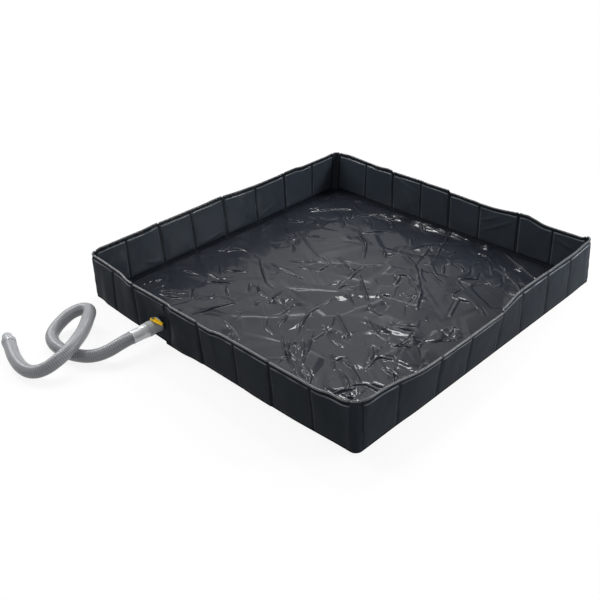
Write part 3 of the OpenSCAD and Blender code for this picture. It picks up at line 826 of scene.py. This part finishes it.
def makeGusset(corner, wall, high):
    # half of a corner, from the wall's end to the middle of the corner, as one doubled skin and its bead.
    # Its depth passes by a smooth step from the skin's to its own; the bead is open where the halves meet.
    way = 1 if high else -1
    u = way * np.linspace(tray["wallEnd"] - gusset["lap"], cornerMiddle, 14)
    zz, uu = np.meshgrid(heightStations(gusset["foot"]), u, indexing="ij")
    pucker = gusset["pucker"] * smoothNoise(zz, uu * 0, 0.02, 70 + len(corner)) * softStep(zz / 0.03)
    outer = skinDepth(wall, np.full_like(uu, way * tray["wallEnd"]), zz, 0, True)[0]
    share = softStep((np.abs(uu) - tray["wallEnd"]) / (cornerMiddle - tray["wallEnd"]))
    hem = easeOut((tray["insertTop"] + gusset["hem"] - zz) / gusset["shoulder"])
    swollen = (gusset["full"][corner] - gusset["weld"]) * hem * softStep(zz / gusset["rise"])
    outer = outer * (1 - share) + share * (gusset["weld"] + swollen)
    front = ringPoint(wall, uu, outer + pucker, zz)
    back = ringPoint(wall, uu, gusset["inside"] + pucker, zz)
    cloth = closedShell(front, back, flip=not high)
    run = np.linspace(tray["wallEnd"] + bead["gap"], cornerMiddle, 10) * way
    radius = np.full(10, bead["radius"])
    radius[0] *= 0.05  # closed at the wall's end
    tube, quads = closedTube(ringPoint(wall, run, 0.0, bead["height"]), radius, bead["around"])
    points, faces = joinGrids([cloth, (tube, quads if high else quads[:, ::-1])])
    piece = newPiece(corner + wall.capitalize() + "Gusset", points, faces, outerPvc, "base")
    piece.data.materials.append(beadPvc)
    onBead = np.arange(len(faces)) >= len(cloth[1])
    piece.data.polygons.foreach_set("material_index", onBead.astype(np.int32))
    return piece


for wall, spec in walls.items():
    for corner, high in zip(spec["corners"], (False, True)):
        piece = makeGusset(corner, wall, high)
        x = 0.6 if "Right" in corner else -0.6
        y = 0.6 if "back" in corner else -0.6
        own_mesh(piece)
        node = corner.replace("Left", "_left").replace("Right", "_right") + "_gusset"
        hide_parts(node)
print("corners made")

floor = {
    "half": 0.5985,  # from its middle to its edge
    "corner": 0.022,
    "step": 0.0024,  # between the points of its grid
    "cloth": 0.0010,  # height of the sheet where it has no form
    "calm": (0.008, 0.035),  # how far from its edge the form starts, and over what length it grows
    "swell": 0.0026,  # height of the broad swells
    "strip": 0.430,  # beyond this distance from the middle the floor goes flat under a folded side wall
    # large and small flat facets: how steep they are, how much steeper the large ones get towards the back
    # right, and the width over which a facet rises from its creases
    "facets": (
        {
            "count": 90, "seed": 11, "turn": 0.5, "stretch": 1.5,
            "tilt": 0.026, "more": 0.050, "rounding": 0.035,
        },
        {"count": 420, "seed": 21, "turn": 2.1, "stretch": 1.8, "tilt": 0.040, "rounding": 0.009},
    ),
    "foldScale": (0.62, 1.45),  # what the height and the width of every long fold are multiplied by
    # folds pressed in by storage: the points each runs through, its height and its width
    "folds": [
        ([(-0.455, 0.20), (-0.375, 0.175), (-0.24, 0.115), (-0.195, 0.10)], 0.005, 0.005),
        ([(-0.305, -0.05), (-0.215, -0.05), (-0.14, -0.05)], 0.005, 0.0045),
        ([(-0.215, 0.00), (-0.13, 0.015)], 0.0035, 0.004),
        ([(-0.16, 0.145), (-0.065, 0.11), (-0.04, 0.125)], 0.005, 0.0045),
        ([(0.025, -0.025), (0.07, -0.035), (0.135, -0.08)], 0.005, 0.005),
        ([(-0.02, 0.105), (0.145, -0.025), (0.215, -0.055)], 0.006, 0.005),
        ([(0.06, -0.105), (0.15, -0.165), (0.235, -0.22)], 0.006, 0.005),
        ([(0.115, -0.22), (0.215, -0.26), (0.25, -0.26)], 0.005, 0.0045),
        ([(0.045, -0.33), (0.14, -0.40), (0.235, -0.45)], 0.005, 0.0045),
        ([(0.07, -0.31), (0.145, -0.40), (0.22, -0.445)], 0.004, 0.004),
        ([(0.115, -0.255), (0.225, -0.415)], 0.002, 0.004),
        ([(0.19, -0.095), (0.28, -0.14), (0.345, -0.155)], 0.005, 0.0045),
        ([(0.285, -0.315), (0.345, -0.33), (0.405, -0.365)], 0.006, 0.005),
        ([(0.375, -0.31), (0.365, -0.24), (0.405, -0.215)], 0.005, 0.006),
        ([(0.275, -0.345), (0.29, -0.31), (0.335, -0.33)], 0.005, 0.005),
        ([(-0.435, -0.245), (-0.36, -0.245), (-0.34, -0.22)], 0.004, 0.0045),
        ([(-0.495, -0.105), (-0.465, -0.05), (-0.355, -0.055)], 0.004, 0.0045),
        ([(-0.355, -0.055), (-0.23, -0.14), (-0.165, -0.165)], 0.0045, 0.0045),
        ([(-0.51, -0.295), (-0.43, -0.27)], 0.0035, 0.0045),
        ([(-0.25, -0.46), (-0.23, -0.415), (-0.19, -0.29)], 0.004, 0.006),
        ([(-0.14, -0.41), (-0.075, -0.425), (-0.02, -0.45)], 0.004, 0.006),
        ([(-0.41, 0.425), (-0.29, 0.33)], 0.004, 0.006),
        ([(-0.505, 0.34), (-0.445, 0.425), (-0.375, 0.485)], 0.006, 0.006),
        ([(-0.255, 0.36), (-0.145, 0.285), (-0.08, 0.20)], 0.0045, 0.005),
        ([(-0.015, 0.32), (0.115, 0.255), (0.19, 0.18), (0.285, 0.05)], 0.005, 0.005),
        ([(0.38, -0.455), (0.41, -0.395)], 0.002, 0.005),
        ([(0.43, -0.345), (0.47, -0.335)], 0.004, 0.005),
        ([(0.36, -0.095), (0.405, -0.09)], 0.004, 0.005),
        ([(0.345, -0.155), (0.405, -0.13)], 0.005, 0.008),
        ([(-0.125, -0.235), (-0.105, -0.205), (-0.02, -0.23)], 0.004, 0.007),
        ([(0.145, -0.385), (0.045, -0.22), (0.025, -0.075)], 0.002, 0.006),
        ([(0.405, -0.265), (0.475, -0.275)], 0.005, 0.005),
        ([(-0.225, 0.335), (-0.13, 0.435)], 0.004, 0.005),
        ([(-0.37, 0.365), (-0.29, 0.49), (-0.20, 0.515)], 0.004, 0.007),
        ([(-0.15, 0.54), (-0.065, 0.545), (0.035, 0.56), (0.145, 0.565)], 0.018, 0.009),
        ([(0.18, 0.56), (0.225, 0.565)], 0.014, 0.008),
        ([(0.275, 0.57), (0.38, 0.515), (0.47, 0.475)], 0.006, 0.007),
        ([(0.26, 0.305), (0.32, 0.345)], 0.0045, 0.005),
        ([(0.27, 0.30), (0.435, 0.295)], 0.005, 0.006),
        ([(0.31, 0.205), (0.315, 0.245)], 0.005, 0.006),
        ([(0.32, 0.45), (0.415, 0.415), (0.465, 0.375)], 0.005, 0.005),
        ([(0.165, 0.195), (0.23, 0.14), (0.275, 0.06)], 0.005, 0.005),
        ([(-0.005, 0.315), (0.075, 0.29), (0.135, 0.245)], 0.0045, 0.005),
        ([(0.385, 0.09), (0.345, 0.195)], 0.0045, 0.005),
        ([(0.205, 0.50), (0.245, 0.505)], 0.004, 0.006),
        ([(0.24, 0.35), (0.27, 0.56)], 0.004, 0.007),
        ([(0.265, 0.48), (0.335, 0.405)], 0.004, 0.007),
        ([(0.12, 0.355), (0.05, 0.54)], 0.005, 0.008),
        ([(0.14, 0.315), (0.195, 0.27)], 0.004, 0.005),
        ([(0.165, 0.35), (0.205, 0.295)], 0.004, 0.005),
    ],
    # facets that lean towards the valve wall: middle, half length, half depth, turn, lean
    "leaning": [
        (-0.09, -0.21, 0.050, 0.020, 0.95, 0.13),
        (-0.08, -0.44, 0.035, 0.018, 0.30, 0.12),
        (-0.20, 0.06, 0.045, 0.016, 0.60, 0.14),
        (0.05, -0.06, 0.040, 0.014, 0.35, 0.14),
        (0.05, 0.03, 0.045, 0.016, 0.50, 0.14),
        (0.16, -0.22, 0.040, 0.014, 0.40, 0.12),
        (0.26, -0.14, 0.035, 0.014, 1.10, 0.12),
        (0.24, 0.11, 0.040, 0.016, 0.20, 0.14),
        (0.15, 0.35, 0.060, 0.022, 0.85, 0.16),
        (0.08, 0.42, 0.050, 0.020, 0.40, 0.16),
        (-0.03, 0.34, 0.040, 0.018, 1.20, 0.16),
        (0.43, 0.03, 0.040, 0.014, 0.80, 0.13),
        (-0.24, 0.50, 0.060, 0.022, 0.50, 0.16),
        (-0.36, 0.16, 0.045, 0.016, 1.10, 0.15),
        (-0.29, -0.36, 0.035, 0.014, 0.90, 0.13),
        (0.35, -0.31, 0.030, 0.012, 0.40, 0.10),
    ],
    "leaningEdge": 0.35,  # how much of a leaning facet falls away at its edge
    # small folds in random places: which ways they run, and the ranges of their sizes
    "smallFolds": {
        "count": 80,
        "within": 0.55,
        "ways": [-0.5, -0.6, 1.9, 0.3, -0.8],
        "half": (0.012, 0.055),
        "bow": 0.18,
        "width": (0.0045, 0.0080),
        "steepness": (0.08, 0.32),
    },
    "streaks": {"turn": -0.55, "stretch": 5, "cell": 0.013, "height": 0.0005},
    # the ridge along a fold's crest: its height and half width, the depth of the groove beside it, and how
    # many half widths off that lies
    "pinch": (0.0032, 0.0038, 0.0014, 1.9),
    "wander": (0.0015, 0.035),  # how far a fold strays from its line, and over what length
    "readAlong": (0.73, 0.68),  # read this way, most folds have their shallow side at the right
    "steepSide": 0.9,  # widths of a fold's two sides, as shares of its own
    "shallowSide": 1.9,
}


def foldHeight(x, y, points, rise, width, seed):
    # height = rise x fade towards the ends x (1 - distance / width), its crest and feet rounded, one side
    # steeper, with a pinched ridge exp(-(distance / pinch)^2) on its crest and a shallow groove beside that;
    # the 0.001 rounds the crest and the 0.02 the feet
    line, along = curveThrough([(px, py, 0) for px, py in points], 0.004)
    stray, reach = floor["wander"]
    stray = stray * np.stack([smoothNoise(along, along * 0, reach, seed + k) for k in (0, 1)], axis=-1)
    line = line[:, :2] + stray
    low, high = line.min(axis=0) - 4 * width, line.max(axis=0) + 4 * width
    near = (x > low[0]) & (x < high[0]) & (y > low[1]) & (y < high[1])
    px, py = x[near], y[near]
    best = np.full(px.shape, 1e9)
    side = np.zeros(px.shape)
    place = np.zeros(px.shape)
    total = along[-1]
    for k in range(len(line) - 1):
        ax, ay = line[k]
        dx, dy = line[k + 1] - line[k]
        size = max(dx * dx + dy * dy, 1e-12)
        t = np.clip(((px - ax) * dx + (py - ay) * dy) / size, 0, 1)
        ex, ey = px - ax - t * dx, py - ay - t * dy
        d = np.hypot(ex, ey)
        closer = d < best
        best = np.where(closer, d, best)
        side = np.where(closer, np.sign(dx * ey - dy * ex), side)
        place = np.where(closer, (along[k] + t * (along[k + 1] - along[k])) / total, place)
    fade = arch(place) ** 0.6
    uneven = 0.85 + 0.30 * smoothNoise(place * total, place * 0, 0.035, seed + 2)
    # the shallow side faces the valve wall and the right, as the cloth was pushed home from there; half of
    # the folds that lie nearly across readAlong have it at the other side
    run = line[-1] - line[0]
    ux, uy = floor["readAlong"]
    slant = (ux * run[0] + uy * run[1]) / max(np.hypot(run[0], run[1]), 1e-9)
    way = np.sign(slant) if abs(slant) > 0.35 or seed % 2 == 0 else -np.sign(slant)
    lean = np.where(side * way > 0, floor["steepSide"], floor["shallowSide"])
    fall = 1 - np.sqrt(best ** 2 + 0.001 ** 2) / (width * lean)
    skirt = rise * 0.5 * (fall + np.sqrt(fall ** 2 + 0.02))
    high, wide, deep, apart = floor["pinch"]
    crest = high * np.exp(-((best / wide) ** 2)) - deep * np.exp(-((best / wide - apart) ** 2))
    h = np.zeros_like(x)
    h[near] = fade * uneven * (skirt + crest)
    return h


def cells(x, y, net):
    # how far it is to the border between the two nearest of some random points, and the height of a plane of
    # random tilt through the nearest
    rng = np.random.default_rng(net["seed"])
    px, py = rng.uniform(-0.7, 0.7, (2, net["count"]))
    tilt = rng.uniform(-1, 1, (2, net["count"]))
    wx, wy = turned(x, y, net["turn"])
    qx, qy = turned(px, py, net["turn"])
    wy, qy = wy * net["stretch"], qy * net["stretch"]
    first = np.full(x.shape, 9.0)
    second = np.full(x.shape, 9.0)
    lift = np.zeros(x.shape)
    for k in range(net["count"]):
        dx, dy = wx - qx[k], wy - qy[k]
        d = np.hypot(dx, dy)
        nearer = d < first
        second = np.where(nearer, first, np.minimum(second, d))
        lift = np.where(nearer, tilt[0, k] * dx + tilt[1, k] * dy, lift)
        first = np.where(nearer, d, first)
    return (second - first) / 2, lift


def smallFold(rng):
    # a random short fold, bowed in its middle: its three points, its height and its width
    small = floor["smallFolds"]
    cx, cy = rng.uniform(-small["within"], small["within"], 2)
    angle = rng.choice(small["ways"]) + rng.normal(0, 0.3)
    half = rng.uniform(*small["half"])
    bow = half * rng.normal(0, small["bow"])
    c, s = math.cos(angle), math.sin(angle)
    points = [(cx - half * c, cy - half * s), (cx - bow * s, cy + bow * c), (cx + half * c, cy + half * s)]
    width = rng.uniform(*small["width"])
    return points, width * rng.uniform(*small["steepness"]), width


def floorHeight(x, y):
    # broad swells, flat facets of random tilt that meet in creases, the long folds, and the small ones
    h = floor["swell"] * (1 + 0.6 * smoothNoise(x, y, 0.20, 1) + 0.4 * smoothNoise(x, y, 0.08, 2))
    wx = x + 0.005 * smoothNoise(x, y, 0.06, 5)
    wy = y + 0.005 * smoothNoise(x, y, 0.06, 6)
    large, small = floor["facets"]
    border, lift = cells(wx, wy, large)
    tilt = large["tilt"] + large["more"] * softStep(0.5 + 1.2 * x + 0.8 * y)
    h = h + tilt * lift * softStep(border / large["rounding"])
    border, lift = cells(wx, wy, small)
    patchy = softStep(0.25 + 1.3 * smoothNoise(x, y, 0.10, 22))
    h = h + small["tilt"] * lift * softStep(border / small["rounding"]) * patchy
    # faint streaks, long one way and narrow the other
    streaks = floor["streaks"]
    long, narrow = turned(x, y, streaks["turn"])
    streak = smoothNoise(long / streaks["stretch"], narrow, streaks["cell"], 31)
    h = h + streaks["height"] * (1 + streak) * softStep(0.5 + 0.8 * smoothNoise(x, y, 0.12, 33))
    # a leaning facet = lean x (distance up it) x an edge that falls away all round
    for px, py, half, deep, turn, lean in floor["leaning"]:
        long, narrow = turned(wx - px, wy - py, turn)
        long, narrow = long / half, narrow / deep
        inside = 1 - np.abs(long) - 0.8 * np.maximum(narrow, -narrow * 0.9)
        h = h + lean * deep * (1 + narrow) * softStep(inside / floor["leaningEdge"])
    higher, wider = floor["foldScale"]
    for index, (points, rise, width) in enumerate(floor["folds"]):
        h = h + foldHeight(x, y, points, higher * rise, wider * width, 200 + 3 * index)
    rng = np.random.default_rng(7)
    for index in range(floor["smallFolds"]["count"]):
        h = h + foldHeight(x, y, *smallFold(rng), 500 + 3 * index)
    return np.maximum(h, 0)


def floorPoint(x, y):
    # the flat sheet with its corners rounded, drawn in where the walls' corners are, pushed out where the
    # walls swell at their foot, and its height on top
    edge = floor["half"] - floor["corner"]
    ox, oy = np.abs(x) - edge, np.abs(y) - edge
    both = (ox > 0) & (oy > 0)
    shrink = np.where(both, np.maximum(ox, oy) / np.maximum(np.hypot(ox, oy), 1e-9), 1.0)
    x = np.where(both, np.sign(x) * (edge + ox * shrink), x)
    y = np.where(both, np.sign(y) * (edge + oy * shrink), y)
    inset = floor["half"] - np.maximum(np.abs(x), np.abs(y))
    start, grow = floor["calm"]
    h = floor["cloth"] + floorHeight(x, y) * softStep((inset - start) / grow)
    for corner, (_, foot, reach) in tray["moved"].items():
        sx = 1 if "Right" in corner else -1
        sy = 1 if "back" in corner else -1
        away = np.maximum(np.abs(sx * floor["half"] - x), np.abs(sy * floor["half"] - y))
        weight = softStep(1 - away / reach)
        x = x + weight * foot[0]
        y = y + weight * foot[1]
    for wall, spec in walls.items():
        a = math.radians(spec["turn"])
        along, inward = turned(x, y, a)
        push = swell(wall, along, 4) * softStep(1 - (floor["half"] + inward) / 0.06)
        x = x + push * math.sin(a)
        y = y - push * math.cos(a)
    return np.stack([x, y, h], axis=-1)


def makeFloor():
    # one grid of points, shared out to four pieces that meet edge to edge; each has its rim brought down to
    # the ground and a flat underside, and keeps the normals of the whole grid, so that no joint shows
    n = int(round(2 * floor["half"] / floor["step"])) + 1
    line = np.linspace(-1, 1, n) * floor["half"]
    x, y = np.meshgrid(line, line, indexing="xy")
    top = floorPoint(x, y)
    ax, ay = np.gradient(top, axis=1), np.gradient(top, axis=0)
    normal = np.cross(ax, ay)
    normal /= np.linalg.norm(normal, axis=-1, keepdims=True)
    split, middle = int(np.searchsorted(line, -floor["strip"])), n // 2
    for name, bottom, upper, first, last, joint in (
        ("floorLeftStrip", 0, n - 1, 0, split, "left_wall_fold"),
        ("floorMiddleFront", 0, middle, split, n - 1 - split, None),
        ("floorMiddleBack", middle, n - 1, split, n - 1 - split, None),
        ("floorRightStrip", 0, n - 1, n - 1 - split, n - 1, "right_wall_fold"),
    ):
        rows, cols = upper - bottom + 1, last - first + 1
        grid = top[bottom:upper + 1, first:last + 1]
        faces = gridFaces(rows, cols)
        rim = np.concatenate([
            np.arange(cols), np.arange(1, rows) * cols + cols - 1,
            (rows - 1) * cols + np.arange(cols - 2, -1, -1), np.arange(rows - 2, 0, -1) * cols,
        ])
        low = grid.reshape(-1, 3)[rim] * [1, 1, 0]
        count = rows * cols
        k = np.arange(len(rim))
        k2 = (k + 1) % len(rim)
        side = np.stack([rim[k2], rim[k], count + k, count + k2], axis=-1)
        points = np.concatenate([grid.reshape(-1, 3), low])
        faces = np.concatenate([faces, side])
        piece = newPiece(name, points, faces, floorPvc, "base", under=count + k[::-1])
        facing = normal[bottom:upper + 1, first:last + 1].reshape(-1, 3)
        facing = np.concatenate([facing, np.tile([0.0, 0.0, -1.0], (len(low), 1))])
        piece.data.normals_split_custom_set_from_vertices(facing.tolist())
        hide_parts("floor_sheet")
        if joint:
            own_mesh(piece)


makeFloor()
print("floor made")

finishes = {
    "outer_gasket": rubberSeal, "inner_gasket": rubberSeal, "stem_seal": rubberSeal,
    "bulkhead_fitting": blackPvc, "bulkhead_nut": blackPvc, "valve_body": greyPvc, "seat_carrier": greyPvc,
    "union_nut": greyPvc, "hose_tail": greyPvc, "ball_seats": seatPtfe, "valve_ball": ballChrome,
    "valve_stem": stemSteel, "lever_screw": stemSteel, "valve_lever": yellowNylon,
}
for node, material in finishes.items():
    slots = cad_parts[node].data.materials
    if len(slots):
        slots[0] = material
    else:
        slots.append(material)
print("fittings dressed")

stageFloor = {
    "size": 14.0,
    "colour": "#fafafa",
    "bounce": "#9a9a9a",  # what it throws back at the object
    "shadow": 0.13,  # how much of its real shadow is seen
    "shadowEdge": (0.9, 1.7),  # over what distance from the middle that fades out
}


def makeStage():
    # what the camera and polished surfaces see of the floor is white, darkened by a share of its real shadow
    s = stageFloor["size"] / 2
    z = -0.0005
    mesh = bpy.data.meshes.new("studioFloor")
    mesh.from_pydata([(-s, -s, z), (s, -s, z), (s, s, z), (-s, s, z)], [], [(0, 1, 2, 3)])
    material, tree = newMaterial("paintedFloor")
    path = addNode(tree, "ShaderNodeLightPath").outputs
    tones = {"data_type": "RGBA", 6: colour(stageFloor["colour"]), 7: colour(stageFloor["bounce"])}
    tone = addNode(tree, "ShaderNodeMix", tones, {"Factor": path["Is Diffuse Ray"]}).outputs[2]
    matt = addNode(tree, "ShaderNodeBsdfDiffuse", None, {"Color": tone})
    glow = addNode(tree, "ShaderNodeEmission", {"Color": (1, 1, 1, 1), "Strength": 1.0})
    either = {"operation": "MAXIMUM"}
    seen = addNode(tree, "ShaderNodeMath", either, {0: path["Is Camera Ray"], 1: path["Is Glossy Ray"]})
    more = addNode(tree, "ShaderNodeMath", either, {0: seen, 1: path["Is Transmission Ray"]})
    place = addNode(tree, "ShaderNodeTexCoord").outputs["Object"]
    away = addNode(tree, "ShaderNodeVectorMath", {"operation": "LENGTH"}, {0: place}).outputs["Value"]
    fade = {
        "interpolation_type": "SMOOTHSTEP",
        "From Min": stageFloor["shadowEdge"][0],
        "From Max": stageFloor["shadowEdge"][1],
        "To Min": 1 - stageFloor["shadow"],
        "To Max": 1.0,
    }
    glowing = addNode(tree, "ShaderNodeMapRange", fade, {"Value": away})
    share = addNode(tree, "ShaderNodeMath", {"operation": "MULTIPLY"}, {0: more, 1: glowing})
    both = addNode(tree, "ShaderNodeMixShader", None, {0: share, 1: matt, 2: glow})
    addNode(tree, "ShaderNodeOutputMaterial", None, {"Surface": both})
    mesh.materials.append(material)
    plane = bpy.data.objects.new("studioFloor", mesh)
    bpy.context.collection.objects.link(plane)


makeStage()

studio = {
    "fill": 0.28,
    "ceiling": 0.05,
    "ceilingEdge": (0.62, 0.77),  # between these heights of a direction the surround darkens
    # a flag, a dark cloth at the back right: which way it stands, where its edge starts and ends, its tone
    "flagSide": (0.84, 0.54, 0),
    "flagEdge": (-0.05, 0.03),
    "flagLevel": 0.35,
}


def makeWorld():
    # diffuse light is even; polished surfaces see a white surround that darkens to the ceiling and the flag
    world = bpy.data.worlds.new("studioWorld")
    world.use_nodes = True
    tree = world.node_tree
    tree.nodes.clear()
    path = addNode(tree, "ShaderNodeLightPath").outputs
    direction = addNode(tree, "ShaderNodeTexCoord").outputs["Generated"]
    height = addNode(tree, "ShaderNodeSeparateXYZ", None, {"Vector": direction}).outputs["Z"]
    towards = {"operation": "DOT_PRODUCT", 1: studio["flagSide"]}
    behind = addNode(tree, "ShaderNodeVectorMath", towards, {0: direction}).outputs["Value"]
    levels = []
    for name, value, level in (("ceilingEdge", height, "ceiling"), ("flagEdge", behind, "flagLevel")):
        start, end = studio[name]
        fade = {
            "interpolation_type": "SMOOTHSTEP",
            "From Min": start, "From Max": end, "To Min": 1.0, "To Max": studio[level],
        }
        levels.append(addNode(tree, "ShaderNodeMapRange", fade, {"Value": value}))
    shown = addNode(tree, "ShaderNodeMath", {"operation": "MULTIPLY"}, {0: levels[0], 1: levels[1]})
    glossy = addNode(tree, "ShaderNodeBackground", {"Color": (1, 1, 1, 1)}, {"Strength": shown})
    soft = addNode(tree, "ShaderNodeBackground", {"Color": (1, 1, 1, 1), "Strength": studio["fill"]})
    white = addNode(tree, "ShaderNodeBackground", {"Color": (1, 1, 1, 1), "Strength": 1.0})
    rays = {0: path["Is Camera Ray"], 1: path["Is Transmission Ray"]}
    seen = addNode(tree, "ShaderNodeMath", {"operation": "MAXIMUM"}, rays)
    first = addNode(tree, "ShaderNodeMixShader", None, {0: path["Is Glossy Ray"], 1: soft, 2: glossy})
    mix = addNode(tree, "ShaderNodeMixShader", None, {0: seen, 1: first, 2: white})
    addNode(tree, "ShaderNodeOutputWorld", None, {"Surface": mix})
    bpy.context.scene.world = world


makeWorld()

# soft boxes, in metres and watts; each points at the middle of the tray unless it has an aim of its own,
# spreads over 180 degrees unless it has a spread, and shows in polished surfaces unless its shine is off
lamps = [
    {"name": "leftStrip", "place": (-1.9, -0.7, 2.2), "size": (0.35, 2.4), "power": 42},
    {"name": "backStrip", "place": (0.7, 2.2, 2.2), "size": (2.4, 0.35), "power": 26, "shine": False},
    {"name": "frontLamp", "place": (1.9, -2.2, 2.3), "size": (0.8, 0.8), "power": 12},
    {"name": "sideLamp", "place": (2.3, 1.7, 1.5), "size": (0.7, 0.7), "power": 34},
    {"name": "sideBeam", "place": (1.9, 1.3, 0.9), "size": (0.5, 0.5), "power": 2.3,
     "aim": (0.75, 0.45, -0.3), "spread": 60, "shine": False},
    {"name": "highLamp", "place": (-1.33, 1.43, 3.0), "size": (0.65, 0.65), "power": 38},
    {"name": "highLeftLamp", "place": (-2.0, 0.2, 3.0), "size": (0.35, 0.35), "power": 9},
    {"name": "highBackLamp", "place": (-0.2, 2.2, 3.0), "size": (0.35, 0.35), "power": 9},
    {"name": "lowLamp", "place": (-2.3, 2.4, 0.9), "size": (2.0, 0.4), "power": 8},
]
for lamp in lamps:
    data = bpy.data.lights.new(lamp["name"], "AREA")
    data.shape = "RECTANGLE"
    data.size, data.size_y = lamp["size"]
    data.energy = lamp["power"]
    data.spread = math.radians(lamp.get("spread", 180))
    light = bpy.data.objects.new(lamp["name"], data)
    light.location = lamp["place"]
    light.visible_glossy = lamp.get("shine", True)
    x, y, z = np.array(lamp["place"]) - np.array(lamp.get("aim", (0, 0, 0)))
    light.rotation_euler = (math.atan2(math.hypot(x, y), z), 0, math.atan2(x, -y))
    bpy.context.collection.objects.link(light)

bpy.context.scene.view_settings.view_transform = "Standard"
print("stage and light ready")
